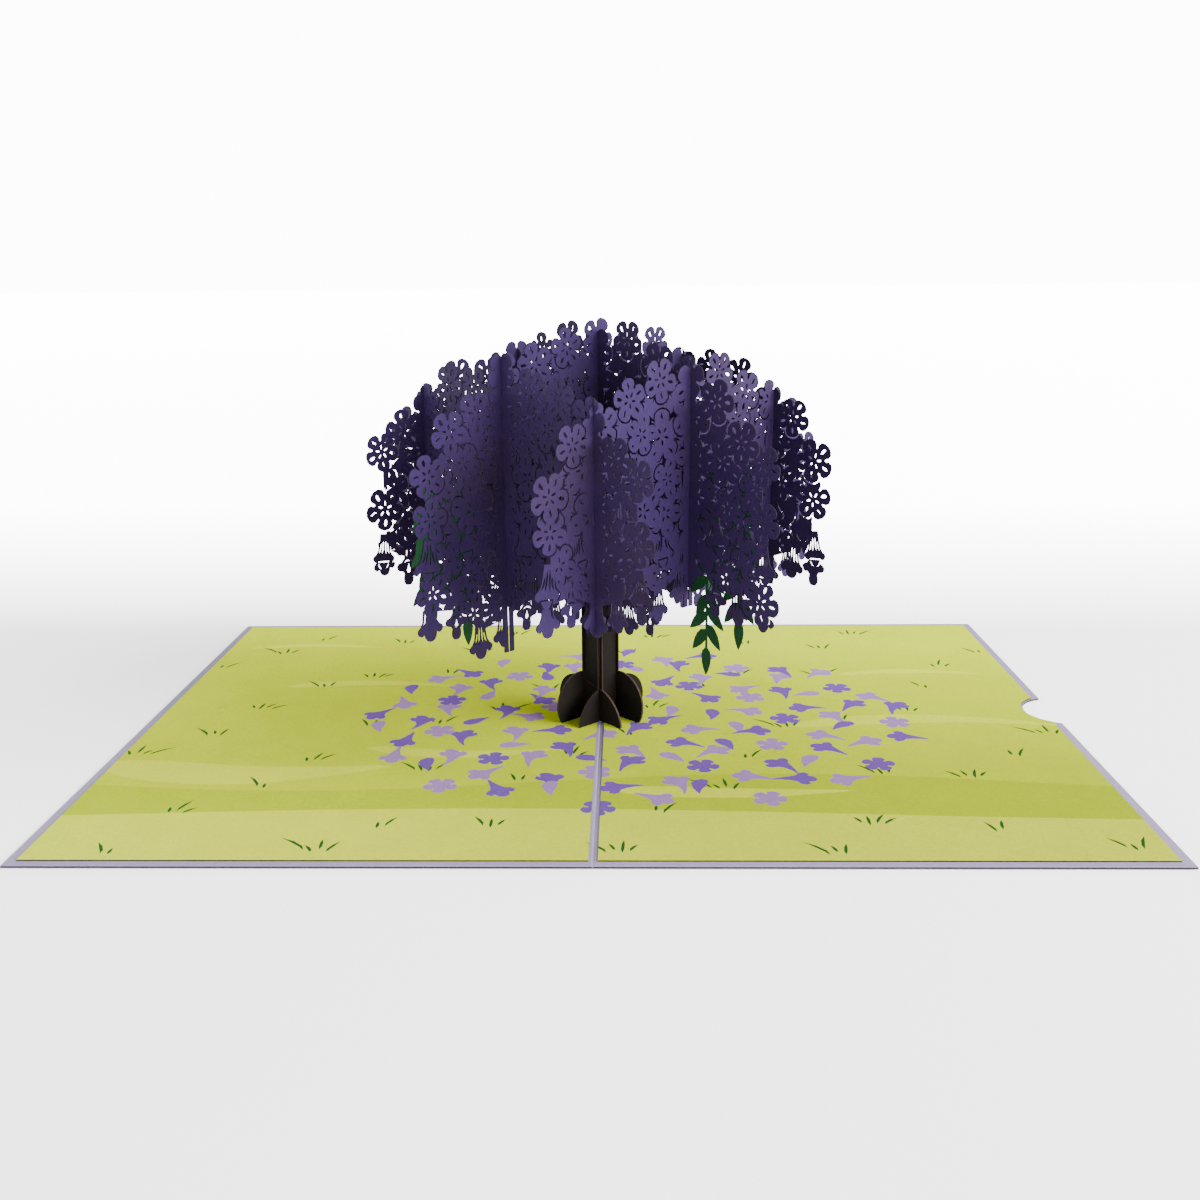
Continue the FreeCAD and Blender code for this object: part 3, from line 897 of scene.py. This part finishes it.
class CARD_OT_leaf_sprays(bpy.types.Operator):
    """Cut the leaf sprays behind the middle slices"""
    bl_idname = "card.leaf_sprays"
    bl_label = "Leaf sprays"

    def execute(self, context):
        sizes = context.scene.card_sizes
        colours = context.scene.card_colours
        face = paper_finish("leaf_paper", colours.leaf)
        edge = paper_finish("leaf_cut", [0.5 * channel for channel in colours.leaf], 0.85)
        offset = (sizes.slice_sheet + sizes.leaf_sheet) / 2
        for wing, (family, side, outer_first, outer_drops) in WINGS.items():
            inward = side if outer_first == OUTER_START else -side
            parts = {"inner": (TRUNK_HALF + LEAF_CLEAR, side, INNER_DROPS),
                     "outer": (outer_first, inward, outer_drops)}
            for part, (first, step, drops) in parts.items():
                name = "leaf_spray_%s_%s" % (wing, part)
                outlines = leaf_panel(side * first, step, drops, sizes)
                place = lattice_place(offset, FAMILY_TURNS[family])
                mesh = die_cut("cut_" + name, outlines, [], [], sizes.leaf_sheet, place)
                add_piece("cut_" + name, mesh, (face, edge), "leaf_paper", name)
        return {"FINISHED"}


# Cover and pages

NOTCH_CENTRE = (129.927 * MM, 3.6 * MM)
NOTCH_RADIUS = 10.727 * MM
SLIT_MIDDLE = 7.9 * MM
SLIT_HALF = 1.5 * MM
FALLEN_MIDDLE = (10 * MM, -2 * MM)
FALLEN_REACH = (77 * MM, 59 * MM)
ROOT_GAP = 13 * MM
GOLDEN_ANGLE = 2.399963
# Painted light and shade on the print, as low, high, start and end of a ramp: the page darkens towards the
# front and lightens towards the back, and it lightens at the left, where the tree's shadow falls.
PAINTED_BACK_LIGHT = (-0.01, 0.09, 0.82, 1.36)
PAINTED_LEFT_LIGHT = (-0.12, 0.04, 1.35, 1.0)
TRUMPET = [(0.2, 4.6), (0.5, 3.0), (0.9, 1.4), (1.4, 0.3), (2.4, -0.3), (2.8, -1.3), (2.1, -2.2), (1.4, -1.8),
           (1.1, -2.9), (0.4, -3.4)]
PETAL = [(0.1, 4.0), (0.8, 2.2), (1.5, 0.2), (1.3, -1.3), (0.6, -2.2)]


def page_outline(side):
    low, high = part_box("right_page" if side > 0 else "left_page")
    outline = box_outline(low.x, high.x, low.y, high.y)
    if side < 0:
        return outline
    opening = math.acos((NOTCH_CENTRE[0] - high.x) / NOTCH_RADIUS)
    angles = [math.pi + opening - 2 * opening * step / 24 for step in range(25)]
    notch = [(NOTCH_CENTRE[0] + NOTCH_RADIUS * math.cos(angle),
              NOTCH_CENTRE[1] + NOTCH_RADIUS * math.sin(angle)) for angle in angles]
    return outline[:2] + notch + outline[2:]


def tab_slits():
    half = SLOT_WIDTH / 2
    return [moved(box_outline(side * SLIT_MIDDLE - SLIT_HALF, side * SLIT_MIDDLE + SLIT_HALF,
                              offset - half, offset + half), 0, 0, math.radians(turn), 1)
            for turn in FAMILY_TURNS.values() for offset in (-TRUNK_GRID, TRUNK_GRID) for side in (-1, 1)]


def hill(height, swell, length, shift):
    """The ground from the front edge of the card up to a rolling line."""
    line = [(x * MM, (height + swell * math.sin(x / length + shift)) * MM) for x in range(-130, 131, 5)]
    return [(-130 * MM, -95 * MM), (130 * MM, -95 * MM)] + line[::-1]


def swoosh(left, right, up, height, sag):
    """A long light sweep of colour that is blunt at its left and tapers to its right."""
    upper, lower = [], []
    for step in range(21):
        share = step / 20
        x = left + share * (right - left)
        middle = up + sag * math.sin(math.pi * share)
        half = height / 2 * math.sqrt(max(share * (1 - share), 0)) * (2.6 - 1.8 * share)
        upper.append((x * MM, (middle + half) * MM))
        lower.append((x * MM, (middle - 0.6 * half) * MM))
    return lower + upper[-2:0:-1]


def tuft(number, along, up):
    """Two to four strokes of grass."""
    count = 2 + number % 3
    strokes = []
    for blade in range(count):
        off = blade - (count - 1) / 2
        length = 4.6 + 1.7 * wander(number + blade, 21)
        lean = 0.5 * off + 0.35 * wander(number, 22)
        line = [(off * 1.7 + lean * length * share ** 1.6, length * share + 0.7 * wander(blade, number))
                for share in (0, 0.3, 0.65, 1)]
        strokes.append(moved(stroke(line, 0.75), along, up))
    return strokes


def fallen(number, count):
    """One printed blossom on the ground, scattered evenly round the trunk."""
    radius = math.sqrt((number + 0.5) / count)
    angle = GOLDEN_ANGLE * number
    along = FALLEN_MIDDLE[0] + FALLEN_REACH[0] * radius * math.cos(angle) + 2.5 * MM * wander(number, 31)
    up = FALLEN_MIDDLE[1] + FALLEN_REACH[1] * radius * math.sin(angle) + 2.5 * MM * wander(number, 32)
    kind = number % 5
    if kind == 4:
        outline = [(0.55 * x, 0.55 * y) for x, y in flower(number, 1, 0.3)[0]]
    else:
        bend = 0.08 * wander(number, 33)
        outline = [(x + bend * y * y, y) for x, y in mirrored(PETAL if kind == 3 else TRUMPET)]
    outline = [(1.35 * x, 1.35 * y) for x, y in outline]
    return along, up, moved(outline, along, up, math.pi * wander(number, 34))


# The print's layout, in millimetres: height, swell, length and shift of each hill, left, right, place,
# height and sag of each sweep, and the grid of the tufts with how far they stray from it
DEEP_HILL = (-46, 5, 38, 0.4)
LIGHT_HILL = (-64, 3, 55, 2.0)
SWEEPS = ((-128, -52, -36, 17, -7), (-96, -44, 24, 6, 3), (4, 62, -51, 8, -2), (52, 128, -9, 9, 5),
          (-62, -8, -24, 7, -5), (72, 118, 34, 5, 3), (-118, -72, 62, 4, 3))
TUFT_COLUMNS = 11
TUFT_ROWS = 5
TUFT_CORNER = (-113, -74)
TUFT_PITCH = (22.6, 35)
TUFT_DRIFT = (8, 11)


def print_layers(colours, count):
    """Outlines of the print with their colours, from the ground up."""
    layers = [(hill(*DEEP_HILL), colours.meadow_deep), (hill(*LIGHT_HILL), colours.meadow_light)]
    layers += [(swoosh(*sweep), colours.meadow_light) for sweep in SWEEPS]
    for number in range(TUFT_COLUMNS * TUFT_ROWS):
        column, row = number % TUFT_COLUMNS, number // TUFT_COLUMNS
        along = (TUFT_CORNER[0] + TUFT_PITCH[0] * column + TUFT_DRIFT[0] * wander(number, 23)) * MM
        up = (TUFT_CORNER[1] + TUFT_PITCH[1] * row + TUFT_DRIFT[1] * wander(number, 24)) * MM
        layers += [(outline, colours.grass) for outline in tuft(number, along, up)]
    for number in range(count):
        along, up, outline = fallen(number, count)
        if math.hypot(along, up) > ROOT_GAP:
            layers.append((outline, colours.petal_pale if number % 2 else colours.petal_deep))
    return layers


def page_sheet(name, side, thickness, colours, count):
    slits = tab_slits()
    layers = print_layers(colours, count)
    inks = [None] * len(slits) + [tuple(colours.meadow)] + [tuple(colour) for _, colour in layers]
    ground = len(slits)
    corners, triangles, owners = partition(slits + [page_outline(side)] + [outline for outline, _ in layers])
    kept = [(triangle, inks[max(found)]) for triangle, found in zip(triangles, owners)
            if ground in found and min(found) == ground]
    place = Matrix.Translation((0, 0, (PAGE_LOW + PAGE_TOP) / 2))
    return sheet_mesh(name, corners, [triangle for triangle, _ in kept], thickness, place,
                      [ink for _, ink in kept])


class CARD_OT_card(bpy.types.Operator):
    """Give the cover its card and print the pages"""
    bl_idname = "card.card"
    bl_label = "Cover and pages"

    def execute(self, context):
        colours = context.scene.card_colours
        cover = Finish("cover_cardstock")
        cover.paper(cover.mix(cover.upright(), colours.cover_cut, colours.cover), mottle=0.04)
        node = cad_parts["cover_card"]
        node.data.materials.clear()
        node.data.materials.append(cover.material)

        page = Finish("printed_page")
        ink = page.node("ShaderNodeAttribute", {"attribute_name": "print"})
        along, across = page.axis(page.where, 0), page.axis(page.where, 1)
        drift = page.noise(9.0, 1.0)
        # Painted light and shade: the print is darkened towards the front and lightened towards the back and at
        # the left, where the tree casts its shadow on the page.
        light = page.spread(across + 0.05 * drift, *PAINTED_BACK_LIGHT) * page.spread(along, *PAINTED_LEFT_LIGHT)
        page.paper(page.mix(1.0, ink, light, "MULTIPLY"), 0.62, 0.03, sheen=0.0)
        edge = paper_finish("page_cut", colours.page_cut, 0.85)
        count = context.scene.card_sizes.fallen_blossoms
        for side, name in ((-1, "left_page"), (1, "right_page")):
            mesh = page_sheet("print_" + name, side, PAGE_TOP - PAGE_LOW, colours, count)
            add_piece("print_" + name, mesh, (page, edge), "printed_page", name)
        return {"FINISHED"}


# Stage: the floor glows more with distance and behind the card, and the sky is a low bright band that is
# brightest behind the card

FLOOR_GLOW = 4.0
GLOW_BAND = (0.35, 2.2)
GLOW_SHARE = (0.14, 1.0)
BACKDROP_BAND = (0.085, 0.32)
BACKDROP_SHARE = (0.0, 2.5)
SKY_BAND = (0.2, 0.36)
SKY_LIGHT = (5.0, 0.2)
SKY_BACK = (0.6, 0.86)
SKY_BACK_SHARE = (1.0, 2.6)
KEY_POWER = 135.0
TOP_POWER = 40.0
FLOOR_HALF = 6.0
FLOOR_DROP = 0.0002
FLOOR_PAINT = (0.92, 0.92, 0.92)
WHITE = (1.0, 1.0, 1.0)
KEY_PLACE = (1.45, -0.6, 0.85)
KEY_TARGET = (0, 0, 0.04)
KEY_SIZE = (1.5, 0.9)
TOP_PLACE = (0.1, -0.1, 1.7)
TOP_TARGET = (0, 0, 0)
TOP_SIZE = (2.0, 2.0)


def aimed(place, target):
    return (Vector(target) - Vector(place)).to_track_quat("-Z", "Y").to_matrix().to_4x4()


def add_light(name, place, target, size, power):
    light = bpy.data.lights.new(name, "AREA")
    light.shape = "RECTANGLE"
    light.size, light.size_y = size
    light.energy = power
    lamp = bpy.data.objects.new(name, light)
    lamp.matrix_world = Matrix.Translation(place) @ aimed(place, target)
    bpy.context.scene.collection.objects.link(lamp)


def add_camera():
    forward = Vector((math.sin(CAMERA_YAW) * math.cos(CAMERA_PITCH),
                      math.cos(CAMERA_YAW) * math.cos(CAMERA_PITCH), -math.sin(CAMERA_PITCH)))
    right = Vector((math.cos(CAMERA_YAW), -math.sin(CAMERA_YAW), 0))
    up = right.cross(forward)
    level = Matrix((right, up, -forward)).transposed()
    data = bpy.data.cameras.new("camera")
    data.lens = CAMERA_LENS
    data.sensor_width = 36.0
    data.clip_start, data.clip_end = 0.01, 20.0
    camera = bpy.data.objects.new("camera", data)
    roll = Matrix.Rotation(CAMERA_ROLL, 3, "Z")
    camera.matrix_world = Matrix.Translation(CAMERA_PLACE) @ (level @ roll).to_4x4()
    bpy.context.scene.collection.objects.link(camera)
    bpy.context.scene.camera = camera


class CARD_OT_stage(bpy.types.Operator):
    """Set the floor, the lights and the camera"""
    bl_idname = "card.stage"
    bl_label = "Stage"

    def execute(self, context):
        shape = bmesh.new()
        bmesh.ops.create_grid(shape, x_segments=2, y_segments=2, size=FLOOR_HALF)
        bmesh.ops.translate(shape, verts=shape.verts[:], vec=(0, 0, -FLOOR_DROP))
        mesh = bpy.data.meshes.new("floor")
        shape.to_mesh(mesh)
        shape.free()
        floor = bpy.data.objects.new("floor", mesh)
        context.scene.collection.objects.link(floor)
        finish = Finish("floor_paint")
        finish.set("Base Color", FLOOR_PAINT)
        finish.set("Roughness", 0.9)
        finish.set("Specular IOR Level", 0.1)
        distance = finish.node("ShaderNodeVectorMath", {"operation": "LENGTH"}, {0: finish.where}, output=1)
        behind = finish.spread(finish.axis(finish.where, 1), *BACKDROP_BAND, *BACKDROP_SHARE)
        finish.set("Emission Color", finish.spread(distance, *GLOW_BAND, *GLOW_SHARE) + behind)
        finish.set("Emission Strength", FLOOR_GLOW)
        mesh.materials.append(finish.material)
        world = bpy.data.worlds.new("studio")
        world.use_nodes = True
        sky = Nodes(world.node_tree)
        heading = sky.node("ShaderNodeTexCoord")
        climb = sky.axis(heading, 2)
        backdrop = sky.spread(sky.axis(heading, 1), *SKY_BACK, *SKY_BACK_SHARE)
        background = world.node_tree.nodes["Background"]
        sky.feed(background.inputs["Color"], WHITE)
        sky.feed(background.inputs["Strength"], sky.spread(climb, *SKY_BAND, *SKY_LIGHT) * backdrop)
        context.scene.world = world
        add_light("key", KEY_PLACE, KEY_TARGET, KEY_SIZE, KEY_POWER)
        add_light("top", TOP_PLACE, TOP_TARGET, TOP_SIZE, TOP_POWER)
        add_camera()
        return {"FINISHED"}


class CARD_PT_panel(bpy.types.Panel):
    """The card's pieces, one button each"""
    bl_idname = "CARD_PT_panel"
    bl_label = "Pop Up Card"
    bl_space_type = "VIEW_3D"
    bl_region_type = "UI"
    bl_category = "Card"

    def draw(self, context):
        for operator in OPERATORS:
            self.layout.operator(operator.bl_idname)
        for group in (context.scene.card_sizes, context.scene.card_colours):
            for name in group.__annotations__:
                self.layout.prop(group, name)


OPERATORS = (CARD_OT_stage, CARD_OT_card, CARD_OT_trunk, CARD_OT_leaf_sprays, CARD_OT_blossom_slices)
CLASSES = (PaperSizes, PaperColours, *OPERATORS, CARD_PT_panel)


def register():
    for item in CLASSES:
        bpy.utils.register_class(item)
    bpy.types.Scene.card_sizes = PointerProperty(type=PaperSizes)
    bpy.types.Scene.card_colours = PointerProperty(type=PaperColours)


def unregister():
    del bpy.types.Scene.card_colours
    del bpy.types.Scene.card_sizes
    for item in reversed(CLASSES):
        bpy.utils.unregister_class(item)


def main():
    register()
    bpy.ops.card.stage()
    bpy.ops.card.card()
    bpy.ops.card.trunk()
    bpy.ops.card.leaf_sprays()
    bpy.ops.card.blossom_slices()
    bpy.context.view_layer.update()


if __name__ == "__main__":
    main()
